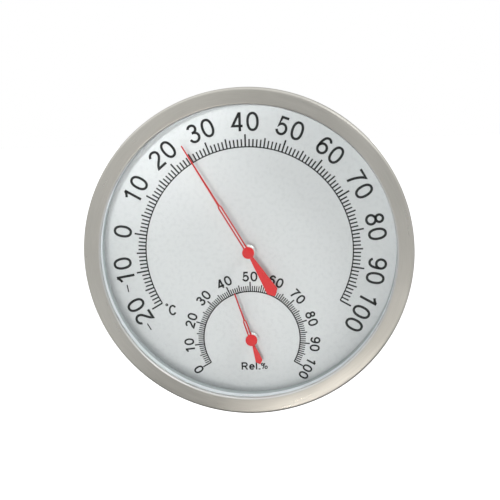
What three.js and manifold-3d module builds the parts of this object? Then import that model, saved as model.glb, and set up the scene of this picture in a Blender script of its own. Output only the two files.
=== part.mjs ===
// A wall dial thermometer and hygrometer: a steel drum with a bezel ring crimped on its
// front flange and a screwed rear cover, in millimetres.
//
// Every piece is drawn in dial axes: X to the reader's right, Y up the dial, and Z out of
// the wall towards the reader, with the wall at Z = 0. The last group turns the dial axes
// into the frame of the part, where the reader looks along +Y and +Z is up.
import * as THREE from "three";
import { mergeVertices } from "three/addons/utils/BufferGeometryUtils.js";
import Module from "manifold-3d";

const wasm = await Module();
wasm.setup();

// Fits
const seatGap = 0.1;
const slideClearance = 0.25;
const pressClearance = 0.05;
const runningClearance = 0.1;
const endPlay = 0.3;
const screwClearance = 0.1;
const overrun = 1.5;
const weldTolerance = 0.0001;

// Bezel ring, one spun sheet: crimped hem, side wall, flat front face and return lip
const bezelRadius = 66.5;
const bezelSheet = 0.8;
const bezelBendRadius = 0.8;
const faceWidth = 6.8;
const lipDepth = 1.9;
const crimpGap = 0.85;
const windowRadius = bezelRadius - faceWidth;

// Case drum, one drawn sheet: front flange in the crimp, wall and in-turned rear hem
const drumSheet = 0.8;
const drumBendRadius = 1;
const drumHemWidth = 3.1;

// Glass, its gasket and the bright spacer in front of the dial
const glassThickness = 2;
const glassChamfer = 0.3;
const spacerSheet = 0.7;
const spacerBendRadius = 0.8;
const spacerStep = 0.4;

// Dial plate
const dialRecess = 6;
const dialSheet = 0.6;
const humidityAxisDrop = 37.1;
const temperatureReading = 25;
const temperatureAtTop = 40;
const degreesPerCelsius = 2;
const humidityReading = 42.6;
const humidityAtTop = 50;
const degreesPerPercent = 2.4;

// Pressed rear cover, with its pad on the wall and its rim set back from it
const coverSheet = 0.8;
const coverBendRadius = 1;
const coverRecess = 2.4;
const joggleWidth = 2.6;
const joggleToScrewHead = 4.4;
const beadWidth = 3.4;
const beadSlope = 1;
const beadHeight = 1;
const ventCount = 18;
const ventWidth = 2.4;
const ventLength = 4.6;
const keyholeRadius = 4.6;
const keyholeSlotWidth = 5;
const keyholeSlotLength = 10;
const keyholeToPadEdge = 6.5;
const beadToKeyhole = 1.7;

// Moulded support ring behind the dial, with bosses for the rear screws
const ringWall = 2;
const ringFlange = 1.6;
const ringFlangeWidth = 4;
const bossRadius = 4;
const bossBite = 0.4;
const pilotRadius = 1.2;
const pilotSpare = 1.2;

// Rear screws
const screwAngles = [90, 210, 330];
const screwHeadRadius = 2.5;
const screwHeadHeight = 1.6;
const screwCrown = 0.5;
const screwLength = 6.4;
const recessWidth = 0.7;
const recessLength = 2.8;
const recessDepth = 0.8;

// Bush and nut that clamp each movement to the dial
const bushRadius = 2;
const bushFlangeWidth = 0.7;
const bushFlangeThickness = 0.65;
const bushTail = 0.4;
const bushHoleClearance = 0.2;
const nutAcrossFlats = 7;
const nutThickness = 1.6;

// Stamped bridge that holds the back pivot, and its gap to the cover's bead
const bridgeSheet = 0.8;
const bridgeBendRadius = 1.1;
const bridgeWidth = 8.6;
const bridgeToBead = 2.2;

// Spindle, collet, pointer boss and cap
const spindleRadius = 0.65;
const pivotRadius = 0.4;
const pivotOverhang = 0.2;
const colletRadius = 2;
const colletShoulder = 0.5;
const colletNoseRadius = 1.3;
const colletNose = 0.6;
const bossPieceRadius = 1.45;
const capRadius = 2.44;
const capHeight = 0.75;
const capCrown = 0.15;
const capEdgeRadius = 0.25;
const capSocketDepth = 0.4;

// Slotted pointers
const pointerSheet = 0.35;
const pointerEyeRadius = 2.1;
const tipWidth = 0.5;
const tipToWindow = 8.9;
const capToGlass = 0.95;
const pointerStep = 1.6;
const upperPointerHeight = dialRecess - capToGlass - capHeight - pressClearance - pointerSheet;

const temperatureMovement = {
  prefix: "temp",
  drop: 0,
  angle: (temperatureAtTop - temperatureReading) * degreesPerCelsius,
  pointerHeight: upperPointerHeight,
  tipRadius: windowRadius - tipToWindow,
  needleWidth: 0.85,
  railWidth: 1.7,
  slotWidth: 0.55,
  slotEndRadius: 21.8,
  railTaper: 1,
  tailRadius: 20.8,
  tailWidth: 4.8,
  tailNeckWidth: 1.45,
  tailPoint: 2.1,
  tailTipWidth: 0.6,
  coilLoops: 6,
  coilRadius: 10.4,
  coilStrip: 0.4,
  coilWidth: 3.2,
  coilTail: 3.6,
};

const humidityMovement = {
  prefix: "hum",
  drop: humidityAxisDrop,
  angle: (humidityAtTop - humidityReading) * degreesPerPercent,
  pointerHeight: upperPointerHeight - pointerStep,
  tipRadius: 20.8,
  needleWidth: 0.7,
  railWidth: 1.6,
  slotWidth: 0.5,
  slotEndRadius: 8.2,
  railTaper: 1,
  tailRadius: 10.8,
  tailWidth: 3,
  tailNeckWidth: 0.95,
  tailPoint: 1.3,
  tailTipWidth: 0.5,
  coilLoops: 5,
  coilRadius: 9,
  coilStrip: 0.36,
  coilWidth: 3.6,
  coilTail: 3.4,
};

// How finely curves are cut
const caseSides = 60;
const coverSides = 48;
const pieceSides = 24;
const pivotSides = 16;
const arcSteps = 4;
const bendSteps = 2;
const innerBendSteps = 1;
const stepsPerLoop = 24;

// Depths in front of the wall: the movements stand clear of the cover's bead, and the
// dial, the glass and the bezel follow them forwards
const widestCoil = Math.max(temperatureMovement.coilWidth, humidityMovement.coilWidth);
const coilBay = widestCoil + colletShoulder + colletNose + endPlay * 2;
const bridgeRear = coverSheet + beadHeight + bridgeToBead;
const spindleShoulder = bridgeRear + bridgeSheet + endPlay;
const bushRear = spindleShoulder + coilBay;
const nutFront = bushRear + bushTail + nutThickness;
const bridgeFront = nutFront + seatGap + bridgeSheet;
const dialRear = bridgeFront + seatGap;
const dialFront = dialRear + dialSheet;
const bushFlangeFront = dialFront + seatGap + bushFlangeThickness;
const glassRear = dialFront + dialRecess;
const glassFront = glassRear + glassThickness;
const bezelFront = glassFront + seatGap + lipDepth;
const drumFlangeFront = glassRear - seatGap - spacerSheet - seatGap;
const bezelRear = drumFlangeFront - drumSheet - seatGap - bezelSheet;
const ringFront = dialRear - seatGap;
const rimFront = coverRecess + coverSheet;
const ringRear = Math.max(coverRecess + drumSheet, rimFront) + seatGap;
const screwHeadFront = coverRecess - seatGap;

// Radii that follow one another from the bezel inwards
const bezelInnerRadius = bezelRadius - bezelSheet;
const bezelInsideBend = bezelBendRadius - bezelSheet / 2;
const glassRadius = bezelInnerRadius - slideClearance;
const flangeRadius = bezelInnerRadius - bezelInsideBend;
const spacerWallRadius = windowRadius + spacerStep + spacerSheet / 2;
const drumInnerRadius = spacerWallRadius + spacerSheet / 2 + slideClearance;
const drumRadius = drumInnerRadius + drumSheet;
const drumInsideBend = drumBendRadius - drumSheet / 2;
const drumHemRadius = drumRadius - drumHemWidth;
const loadedRadius = drumInnerRadius - slideClearance;
const coverRadius = drumHemRadius - slideClearance;
const ringInnerRadius = loadedRadius - ringWall;
const screwPitchRadius = ringInnerRadius + bossBite - bossRadius;
const joggleRadius = screwPitchRadius - screwHeadRadius - joggleToScrewHead;
const padRadius = joggleRadius - joggleWidth;
const ventRadius = (joggleRadius + coverRadius) / 2;
const keyholeTop = padRadius - keyholeToPadEdge - keyholeSlotWidth / 2;
const keyholeHeight = keyholeTop - keyholeSlotLength;
const beadOuterRadius = keyholeHeight - keyholeRadius - beadToKeyhole;
const bushFlangeRadius = bushRadius + bushFlangeWidth;

const degrees = (angle) => THREE.MathUtils.degToRad(angle);
const point = (x, y) => new THREE.Vector2(x, y);

function solidOf(geometry) {
  const bare = geometry.clone();
  bare.deleteAttribute("normal");
  bare.deleteAttribute("uv");
  const merged = mergeVertices(bare, weldTolerance);
  const vertProperties = merged.getAttribute("position").array;
  const triVerts = new Uint32Array(merged.index.array);
  return new wasm.Manifold(new wasm.Mesh({ numProp: 3, vertProperties, triVerts }));
}

function geometryOf(solid) {
  const mesh = solid.getMesh();
  const geometry = new THREE.BufferGeometry();
  geometry.setAttribute("position", new THREE.BufferAttribute(mesh.vertProperties, 3));
  geometry.setIndex(new THREE.BufferAttribute(mesh.triVerts, 1));
  const faceted = geometry.toNonIndexed();
  faceted.computeVertexNormals();
  return faceted;
}

// Rounds the corners of a path: each corner is { at, radius }.
function roundedPath(corners, steps) {
  const path = [];
  corners.forEach(({ at, radius }, i) => {
    if (i === 0 || i === corners.length - 1 || !radius) {
      path.push(at);
      return;
    }
    const back = corners[i - 1].at.clone().sub(at).normalize();
    const ahead = corners[i + 1].at.clone().sub(at).normalize();
    const half = Math.acos(THREE.MathUtils.clamp(back.dot(ahead), -1, 1)) / 2;
    const middle = back.clone().add(ahead).normalize();
    const centre = at.clone().addScaledVector(middle, radius / Math.sin(half));
    const from = at.clone().addScaledVector(back, radius / Math.tan(half)).sub(centre);
    const to = at.clone().addScaledVector(ahead, radius / Math.tan(half)).sub(centre);
    const turn = Math.atan2(from.cross(to), from.dot(to));
    for (let step = 0; step <= steps; step += 1) {
      const swung = from.clone().rotateAround(point(0, 0), (turn * step) / steps);
      path.push(swung.add(centre));
    }
  });
  return path;
}

// Gives a bent centre line the thickness of its sheet, as one closed section. Corners
// have the bend radius unless the set of sharp ones holds them.
function sheetSection(centreLine, sheet, bendRadius, steps, sharp = new Set()) {
  const offsetSide = (side) => {
    const corners = centreLine.map((at, i) => {
      const before = centreLine[Math.max(i - 1, 0)];
      const after = centreLine[Math.min(i + 1, centreLine.length - 1)];
      const incoming = (i ? at : after).clone().sub(i ? before : at).normalize();
      const outgoing = (i < centreLine.length - 1 ? after : at).clone();
      outgoing.sub(i < centreLine.length - 1 ? at : before).normalize();
      const mitre = point(-incoming.y - outgoing.y, incoming.x + outgoing.x).normalize();
      const stretch = mitre.x * -incoming.y + mitre.y * incoming.x;
      const corner = at.clone().addScaledVector(mitre, (side * sheet) / 2 / stretch);
      const turn = sharp.has(at) ? 0 : Math.sign(incoming.cross(outgoing));
      return { at: corner, radius: turn ? bendRadius - (side * turn * sheet) / 2 : 0 };
    });
    return roundedPath(corners, steps);
  };
  return [...offsetSide(1), ...offsetSide(-1).reverse()];
}

// Turns a section of (radius, depth) points round the Z axis.
function turned(section, sides) {
  const outline = [...section];
  const closes = section.some((corner) => corner.x > 0 && corner === section[0]);
  if (closes) outline.push(section[0].clone());
  if (THREE.ShapeUtils.area(section) < 0) outline.reverse();
  return new THREE.LatheGeometry(outline, sides).rotateX(Math.PI / 2);
}

const disc = (radius, rear, front, sides) =>
  turned([point(0, rear), point(radius, rear), point(radius, front), point(0, front)], sides);

const ring = (inner, outer, rear, front, sides) =>
  turned(
    [point(inner, rear), point(outer, rear), point(outer, front), point(inner, front)],
    sides,
  );

function extruded(shape, rear, front, curveSegments = arcSteps) {
  const depth = front - rear;
  const geometry = new THREE.ExtrudeGeometry(shape, { depth, bevelEnabled: false, curveSegments });
  return geometry.translate(0, 0, rear);
}

function circleShape(radius) {
  return new THREE.Shape().absarc(0, 0, radius, 0, Math.PI * 2);
}

// An obround that runs along Y, with the given distance between its end centres.
function slotShape(width, centres) {
  const radius = width / 2;
  const shape = new THREE.Shape();
  shape.absarc(0, centres / 2, radius, 0, Math.PI);
  shape.absarc(0, -centres / 2, radius, Math.PI, Math.PI * 2);
  shape.closePath();
  return shape;
}

// Sets geometry drawn on the Y axis at a radius and an angle round the dial.
function atAngle(geometry, radius, angle) {
  return geometry.translate(0, radius, 0).rotateZ(degrees(angle) - Math.PI / 2);
}

function material(color, roughness, metalness, extra = {}) {
  return new THREE.MeshStandardMaterial({ color, roughness, metalness, ...extra });
}

const finishes = {
  steel: () => material(0xa8a59c, 0.34, 1),
  coverSteel: () => material(0xb4b5b2, 0.42, 1),
  glass: () => material(0xf2f7f5, 0.04, 0, { transparent: true, opacity: 0.18 }),
  rubber: () => material(0x23282a, 0.85, 0),
  brightAluminium: () => material(0xe8eae8, 0.22, 1),
  silverDial: () => material(0xd0d3d4, 0.38, 0.6),
  blackMoulding: () => material(0x2b2d2f, 0.6, 0),
  zinc: () => material(0xc4c6c4, 0.3, 1),
  nickel: () => material(0xdfe0dd, 0.2, 1),
  brass: () => material(0xc2a25a, 0.3, 1),
  bimetal: () => material(0xa08d78, 0.38, 1),
  humidityStrip: () => material(0x9a7f5c, 0.55, 0.5),
  needleSteel: () => material(0xc9cbca, 0.22, 1),
  redLacquer: () => material(0xdc3232, 0.35, 0.1),
  redPlastic: () => material(0xd8383a, 0.42, 0),
};

function piece(parent, name, shape, finish) {
  const geometry = shape.isBufferGeometry ? shape : geometryOf(shape);
  const mesh = new THREE.Mesh(geometry, finish());
  mesh.name = name;
  parent.add(mesh);
  return mesh;
}

function bezelRing() {
  const half = bezelSheet / 2;
  const centreLine = [
    point(drumRadius + crimpGap, bezelRear + half),
    point(bezelRadius - half, bezelRear + half),
    point(bezelRadius - half, bezelFront - half),
    point(windowRadius + half, bezelFront - half),
    point(windowRadius + half, bezelFront - lipDepth),
  ];
  return turned(sheetSection(centreLine, bezelSheet, bezelBendRadius, bendSteps), caseSides);
}

function caseDrum() {
  const half = drumSheet / 2;
  const centreLine = [
    point(drumHemRadius, coverRecess + half),
    point(drumRadius - half, coverRecess + half),
    point(drumRadius - half, drumFlangeFront - half),
    point(flangeRadius, drumFlangeFront - half),
  ];
  return turned(sheetSection(centreLine, drumSheet, drumBendRadius, innerBendSteps), caseSides);
}

function glassDisc() {
  const section = [
    point(0, glassRear),
    point(glassRadius - glassChamfer, glassRear),
    point(glassRadius, glassRear + glassChamfer),
    point(glassRadius, glassFront - glassChamfer),
    point(glassRadius - glassChamfer, glassFront),
    point(0, glassFront),
  ];
  return turned(section, caseSides);
}

function glassGasket() {
  const inner = windowRadius + bezelSheet + bezelInsideBend;
  const front = bezelFront - bezelSheet - seatGap;
  return ring(inner, flangeRadius, glassFront + seatGap, front, caseSides);
}

// The flange rests on the drum's flange, and the wall shows inside the window and holds
// the dial down.
function spacerRing() {
  const half = spacerSheet / 2;
  const flangeDepth = glassRear - seatGap - half;
  const centreLine = [
    point(flangeRadius, flangeDepth),
    point(spacerWallRadius, flangeDepth),
    point(spacerWallRadius, dialFront + seatGap),
  ];
  const section = sheetSection(centreLine, spacerSheet, spacerBendRadius, innerBendSteps);
  return turned(section, caseSides);
}

function dialPlate() {
  const holeRadius = bushRadius + bushHoleClearance;
  const hole = () => disc(holeRadius, dialRear - overrun, dialFront + overrun, pieceSides);
  const upper = solidOf(hole());
  const lower = solidOf(hole().translate(0, -humidityAxisDrop, 0));
  const plate = solidOf(disc(loadedRadius, dialRear, dialFront, caseSides));
  return plate.subtract(upper).subtract(lower);
}

function supportRing() {
  const seatRadius = ringInnerRadius - ringFlangeWidth;
  const section = [
    point(ringInnerRadius, ringRear),
    point(loadedRadius - drumInsideBend, ringRear),
    point(loadedRadius, ringRear + drumInsideBend),
    point(loadedRadius, ringFront),
    point(seatRadius, ringFront),
    point(seatRadius, ringFront - ringFlange),
    point(ringInnerRadius, ringFront - ringFlange),
  ];
  let body = solidOf(turned(section, caseSides));
  const flangeRear = ringFront - ringFlange;
  const pilotEnd = screwHeadFront + screwLength + pilotSpare;
  for (const angle of screwAngles) {
    const boss = disc(bossRadius, ringRear, flangeRear + bossBite, pieceSides);
    const pilot = disc(pilotRadius, ringRear - overrun, pilotEnd, pivotSides);
    body = body.add(solidOf(atAngle(boss, screwPitchRadius, angle)));
    body = body.subtract(solidOf(atAngle(pilot, screwPitchRadius, angle)));
  }
  return body;
}

function rearCover() {
  const half = coverSheet / 2;
  const rim = coverRecess + half;
  const beadInner = beadOuterRadius - beadWidth;
  const centreLine = [
    point(0, half),
    point(beadInner - beadSlope, half),
    point(beadInner, half + beadHeight),
    point(beadOuterRadius, half + beadHeight),
    point(beadOuterRadius + beadSlope, half),
    point(padRadius, half),
    point(joggleRadius, rim),
    point(coverRadius, rim),
  ];
  const bead = new Set(centreLine.slice(1, 5));
  const section = sheetSection(centreLine, coverSheet, coverBendRadius, innerBendSteps, bead);
  let cover = solidOf(turned(section, coverSides));
  const rear = -overrun;
  const front = rimFront + overrun;
  for (let i = 0; i < ventCount; i += 1) {
    const vent = extruded(slotShape(ventWidth, ventLength - ventWidth), rear, front);
    cover = cover.subtract(solidOf(atAngle(vent, ventRadius, (i * 360) / ventCount)));
  }
  for (const angle of screwAngles) {
    const hole = disc(pilotRadius + slideClearance, rear, front, pivotSides);
    cover = cover.subtract(solidOf(atAngle(hole, screwPitchRadius, angle)));
  }
  const keyhole = disc(keyholeRadius, rear, front, pieceSides);
  const neck = slotShape(keyholeSlotWidth, keyholeSlotLength);
  cover = cover.subtract(solidOf(keyhole.translate(0, keyholeHeight, 0)));
  const neckHeight = (keyholeHeight + keyholeTop) / 2;
  return cover.subtract(solidOf(extruded(neck, rear, front).translate(0, neckHeight, 0)));
}

// A pan-head screw that points forwards, with its head on the rear of the rim.
function rearScrew() {
  const headRear = screwHeadFront - screwHeadHeight;
  const shankRadius = pilotRadius - screwClearance;
  const crownRadius = screwHeadRadius - screwCrown;
  const section = [
    point(0, headRear),
    point(crownRadius, headRear),
    point(screwHeadRadius, headRear + screwCrown),
    point(screwHeadRadius, screwHeadFront),
    point(shankRadius, screwHeadFront),
    point(shankRadius, screwHeadFront + screwLength - shankRadius),
    point(0, screwHeadFront + screwLength),
  ];
  let screw = solidOf(turned(section, pivotSides));
  for (const turn of [0, Math.PI / 2]) {
    const slot = new THREE.BoxGeometry(recessWidth, recessLength, recessDepth * 2);
    screw = screw.subtract(solidOf(slot.rotateZ(turn).translate(0, 0, headRear)));
  }
  return screw;
}

function bush() {
  const bore = spindleRadius + runningClearance;
  const flangeRear = dialFront + seatGap;
  const section = [
    point(bore, bushRear),
    point(bushRadius, bushRear),
    point(bushRadius, flangeRear),
    point(bushFlangeRadius, flangeRear),
    point(bushFlangeRadius, bushFlangeFront - bushFlangeThickness / 3),
    point(bushFlangeRadius - bushFlangeThickness / 3, bushFlangeFront),
    point(bore, bushFlangeFront),
  ];
  return turned(section, pieceSides);
}

function bushNut() {
  const shape = new THREE.Shape();
  const cornerRadius = nutAcrossFlats / 2 / Math.cos(Math.PI / 6);
  for (let i = 0; i < 6; i += 1) {
    const corner = point(cornerRadius, 0).rotateAround(point(0, 0), (i * Math.PI) / 3);
    if (i) shape.lineTo(corner.x, corner.y);
    else shape.moveTo(corner.x, corner.y);
  }
  shape.closePath();
  shape.holes.push(circleShape(bushRadius + screwClearance));
  return extruded(shape, nutFront - nutThickness, nutFront, pivotSides);
}

// One stamping bent into a C: the front leg under the nut, the spine that the coil is
// welded to, and the rear leg with the pivot hole. Its legs end round.
function bridge(movement) {
  const half = bridgeSheet / 2;
  const spine = movement.coilRadius + movement.coilStrip / 2 + seatGap + half;
  const reach = -bridgeWidth / 2;
  const centreLine = [
    point(reach, bridgeFront - half),
    point(spine, bridgeFront - half),
    point(spine, bridgeRear + half),
    point(reach, bridgeRear + half),
  ];
  const section = sheetSection(centreLine, bridgeSheet, bridgeBendRadius, bendSteps);
  const channel = new THREE.Shape(section);
  const folded = extruded(channel, reach, -reach).rotateX(Math.PI / 2);
  const plan = new THREE.Shape();
  plan.absarc(0, 0, -reach, Math.PI / 2, (Math.PI * 3) / 2);
  plan.lineTo(spine + bridgeSheet, reach);
  plan.lineTo(spine + bridgeSheet, -reach);
  plan.closePath();
  const blank = extruded(plan, bridgeRear - overrun, bridgeFront + overrun, pieceSides / 2);
  const bushHole = disc(
    bushRadius + bushHoleClearance,
    bridgeFront - bridgeSheet - overrun,
    bridgeFront + overrun,
    pieceSides,
  );
  const pivotHole = disc(
    pivotRadius + runningClearance,
    bridgeRear - overrun,
    bridgeRear + bridgeSheet + overrun,
    pivotSides,
  );
  const rough = solidOf(folded).intersect(solidOf(blank));
  return rough.subtract(solidOf(bushHole)).subtract(solidOf(pivotHole));
}

// The centre line of a coil: a spiral out of the collet, then a straight welded tail.
function coilLine(movement) {
  const innerRadius = colletRadius + seatGap + movement.coilStrip / 2;
  const steps = movement.coilLoops * stepsPerLoop;
  const line = [];
  for (let i = 0; i <= steps; i += 1) {
    const radius = THREE.MathUtils.lerp(innerRadius, movement.coilRadius, i / steps);
    const angle = ((i - steps) * 2 * Math.PI) / stepsPerLoop;
    line.push(point(radius * Math.cos(angle), radius * Math.sin(angle)));
  }
  line.push(point(movement.coilRadius, movement.coilTail));
  return line;
}

// The least gap between two turns, measured from every point to every later stretch.
function leastCoilGap(movement) {
  const line = coilLine(movement);
  let least = Infinity;
  for (let i = 0; i < line.length; i += 1) {
    for (let j = i + stepsPerLoop / 2; j < line.length - 1; j += 1) {
      const start = new THREE.Vector3(line[j].x, line[j].y, 0);
      const end = new THREE.Vector3(line[j + 1].x, line[j + 1].y, 0);
      const here = new THREE.Vector3(line[i].x, line[i].y, 0);
      const nearest = new THREE.Line3(start, end).closestPointToPoint(here, true, here.clone());
      least = Math.min(least, nearest.distanceTo(here));
    }
  }
  return least - movement.coilStrip;
}

function coil(movement) {
  const line = coilLine(movement);
  const sides = [1, -1].map((side) =>
    line.map((at, i) => {
      const before = line[Math.max(i - 1, 0)];
      const after = line[Math.min(i + 1, line.length - 1)];
      const along = after.clone().sub(before).normalize();
      const across = point(-along.y, along.x);
      return at.clone().addScaledVector(across, (side * movement.coilStrip) / 2);
    }),
  );
  const strip = new THREE.Shape([...sides[0], ...sides[1].reverse()]);
  const middle = (bushRear + spindleShoulder) / 2;
  return extruded(strip, middle - movement.coilWidth / 2, middle + movement.coilWidth / 2);
}

function collet(movement) {
  const bore = spindleRadius + pressClearance;
  const middle = (bushRear + spindleShoulder) / 2;
  const rear = middle - movement.coilWidth / 2 - colletShoulder;
  const front = middle + movement.coilWidth / 2;
  const section = [
    point(bore, rear),
    point(colletRadius, rear),
    point(colletRadius, front),
    point(colletNoseRadius, front),
    point(colletNoseRadius, front + colletNose),
    point(bore, front + colletNose),
  ];
  return turned(section, pieceSides);
}

function spindle(pointerFront) {
  const section = [
    point(0, bridgeRear - pivotOverhang),
    point(pivotRadius, bridgeRear - pivotOverhang),
    point(pivotRadius, spindleShoulder),
    point(spindleRadius, spindleShoulder),
    point(spindleRadius, pointerFront + capSocketDepth - seatGap),
    point(0, pointerFront + capSocketDepth - seatGap),
  ];
  return turned(section, pivotSides);
}

function pointerBoss(pointerRear) {
  const bore = spindleRadius + pressClearance;
  const rear = bushFlangeFront + endPlay;
  return ring(bore, bossPieceRadius, rear, pointerRear - pressClearance, pieceSides);
}

// A pointer drawn towards +Y: a fine needle that parts into two rails with a slot between
// them, a round eye under the cap, and a tail that widens to a blunt end.
function pointer(movement, rear) {
  const { tipRadius, needleWidth, railWidth, slotWidth, slotEndRadius, railTaper } = movement;
  const { tailRadius, tailWidth, tailNeckWidth, tailPoint, tailTipWidth } = movement;
  const eye = pointerEyeRadius;
  const railAngle = Math.asin(railWidth / 2 / eye);
  const neckAngle = Math.asin(tailNeckWidth / 2 / eye);
  const quarter = Math.PI / 2;
  const shape = new THREE.Shape();
  shape.moveTo(-tipWidth / 2, tipRadius);
  shape.lineTo(-needleWidth / 2, slotEndRadius + railTaper);
  shape.lineTo(-railWidth / 2, slotEndRadius);
  shape.absarc(0, 0, eye, quarter + railAngle, quarter * 3 - neckAngle);
  shape.lineTo(-tailWidth / 2, tailPoint - tailRadius);
  shape.lineTo(-tailTipWidth / 2, -tailRadius);
  shape.lineTo(tailTipWidth / 2, -tailRadius);
  shape.lineTo(tailWidth / 2, tailPoint - tailRadius);
  shape.absarc(0, 0, eye, neckAngle - quarter, quarter - railAngle);
  shape.lineTo(railWidth / 2, slotEndRadius);
  shape.lineTo(needleWidth / 2, slotEndRadius + railTaper);
  shape.lineTo(tipWidth / 2, tipRadius);
  shape.closePath();
  const slot = new THREE.Path();
  slot.moveTo(-slotWidth / 2, eye);
  slot.lineTo(slotWidth / 2, eye);
  slot.lineTo(slotWidth / 2, slotEndRadius);
  slot.lineTo(0, slotEndRadius + railTaper / 2);
  slot.lineTo(-slotWidth / 2, slotEndRadius);
  slot.closePath();
  shape.holes.push(slot);
  shape.holes.push(circleShape(spindleRadius + pressClearance));
  return extruded(shape, rear, rear + pointerSheet, pieceSides / 2);
}

function cap(pointerFront) {
  const rear = pointerFront + pressClearance;
  const front = rear + capHeight;
  const socket = spindleRadius + pressClearance;
  const corners = [
    { at: point(0, rear + capSocketDepth) },
    { at: point(socket, rear + capSocketDepth) },
    { at: point(socket, rear) },
    { at: point(capRadius, rear) },
    { at: point(capRadius, front - capCrown), radius: capEdgeRadius },
    { at: point(0, front) },
  ];
  return turned(roundedPath(corners, bendSteps), pieceSides);
}

function addMovement(parent, movement, stripFinish) {
  const group = new THREE.Group();
  group.position.y = -movement.drop;
  parent.add(group);
  const name = (word) => `${movement.prefix}_${word}`;
  piece(group, name("bush"), bush(), finishes.nickel);
  piece(group, name("bush_nut"), bushNut(), finishes.brass);
  piece(group, name("bridge"), bridge(movement), finishes.zinc);
  piece(group, name("coil"), coil(movement), stripFinish);

  const pointerRear = dialFront + movement.pointerHeight;
  const pointerFront = pointerRear + pointerSheet;
  const moving = new THREE.Group();
  moving.rotation.z = degrees(movement.angle);
  group.add(moving);
  piece(moving, name("spindle"), spindle(pointerFront), finishes.needleSteel);
  piece(moving, name("collet"), collet(movement), finishes.brass);
  piece(moving, name("pointer_boss"), pointerBoss(pointerRear), finishes.brass);
  piece(moving, name("pointer"), pointer(movement, pointerRear), finishes.redLacquer);
  piece(moving, name("pointer_cap"), cap(pointerFront), finishes.redPlastic);
  console.log(`${name("coil")}: least gap to itself ${leastCoilGap(movement).toFixed(2)} mm`);
}

const instrument = new THREE.Group();
instrument.rotation.x = Math.PI / 2;
piece(instrument, "bezel_ring", bezelRing(), finishes.steel);
piece(instrument, "case_drum", caseDrum(), finishes.coverSteel);
piece(instrument, "lens_gasket", glassGasket(), finishes.rubber);
piece(instrument, "lens", glassDisc(), finishes.glass);
piece(instrument, "spacer_ring", spacerRing(), finishes.brightAluminium);
piece(instrument, "dial_plate", dialPlate(), finishes.silverDial);
piece(instrument, "support_ring", supportRing(), finishes.blackMoulding);
piece(instrument, "rear_cover", rearCover(), finishes.coverSteel);
screwAngles.forEach((angle, i) => {
  const screw = piece(instrument, `rear_screw_${i + 1}`, rearScrew(), finishes.zinc);
  screw.position.set(
    screwPitchRadius * Math.cos(degrees(angle)),
    screwPitchRadius * Math.sin(degrees(angle)),
    0,
  );
});
addMovement(instrument, temperatureMovement, finishes.bimetal);
addMovement(instrument, humidityMovement, finishes.humidityStrip);

const part = new THREE.Group();
part.add(instrument);

export default part;
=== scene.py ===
"""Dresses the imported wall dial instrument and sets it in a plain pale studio.

Places on the dial are (x, y) in millimetres, x to the reader's right and y up, and depths
run forwards from the wall. place() turns both into the frame of the part, in metres.
Directions are degrees to the right of the dial's axis and above it; toward() reads them.
"""
import math

import bmesh
import bpy
from mathutils import Matrix, Vector


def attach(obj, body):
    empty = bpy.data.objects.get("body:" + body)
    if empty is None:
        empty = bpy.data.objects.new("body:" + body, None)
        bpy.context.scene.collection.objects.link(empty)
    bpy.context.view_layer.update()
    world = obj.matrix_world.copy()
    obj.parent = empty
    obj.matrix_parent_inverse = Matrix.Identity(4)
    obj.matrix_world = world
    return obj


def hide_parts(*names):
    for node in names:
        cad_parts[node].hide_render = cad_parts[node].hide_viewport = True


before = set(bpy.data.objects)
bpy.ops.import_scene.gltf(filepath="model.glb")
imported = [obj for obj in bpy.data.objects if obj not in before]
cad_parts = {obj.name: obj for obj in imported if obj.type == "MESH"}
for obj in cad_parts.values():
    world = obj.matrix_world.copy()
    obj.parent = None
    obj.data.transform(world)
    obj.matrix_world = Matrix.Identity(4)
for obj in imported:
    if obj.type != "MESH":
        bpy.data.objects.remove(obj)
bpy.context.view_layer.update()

MM = 0.001
TINY = 1e-6

# Case pieces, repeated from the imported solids
CASE_SHEET = 0.8
SEAT_GAP = 0.1
BEZEL_RADIUS = 66.5
BEZEL_FRONT = 24.0
BEZEL_REAR = 17.4
CRIMP_RADIUS = 63.0
WINDOW_RADIUS = 59.7
LIP_REAR = 22.1
DRUM_RADIUS = 61.85
DRUM_HEM_RADIUS = 58.75
DRUM_REAR = 2.4
DRUM_FLANGE_FRONT = 19.1
FLANGE_RADIUS = 65.3
BEZEL_BEND = 0.8
LIP_BEND = 0.55
DRUM_BEND = 1.0
SPACER_SHEET = 0.7
SPACER_WALL = 60.45
SPACER_FRONT = 19.9
SPACER_BEND = 0.8
DIAL_FRONT = 14.0
HUMIDITY_DROP = 37.1

# How far each needle points to the left of straight up at rest, in degrees
TEMPERATURE_REST = 30.0
HUMIDITY_REST = 17.76

# Caps and bushes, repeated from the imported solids
CAP_RADIUS = 2.44
CAP_HEIGHT = 0.75
CAP_CROWN = 0.15
CAP_EDGE = 0.25
CAP_SOCKET_RADIUS = 0.7
CAP_SOCKET_DEPTH = 0.4
TEMPERATURE_CAP_REAR = 18.3
HUMIDITY_CAP_REAR = 16.7
BUSH_BORE = 0.75
BUSH_RADIUS = 2.0
BUSH_REAR = 10.4
BUSH_FLANGE_RADIUS = 2.7
BUSH_FLANGE_REAR = 14.1
BUSH_FLANGE_FRONT = 14.75

# The flange's domed front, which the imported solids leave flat
BUSH_EDGE_FRONT = 14.3
BUSH_EDGE_BEND = 0.15
BUSH_CROWN_RADIUS = 1.6
BUSH_CROWN_BEND = 2.0

# Sides of a turned piece, steps round a bend, the angle in degrees from which an edge is
# sharp, and how far a ribbon's corner may reach
RING_SIDES = 360
DRUM_SIDES = 240
SMALL_SIDES = 72
BEND_STEPS = 6
FINE_BEND_STEPS = 8
SHARP_ANGLE = 32
MITRE_LIMIT = 0.5

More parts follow.
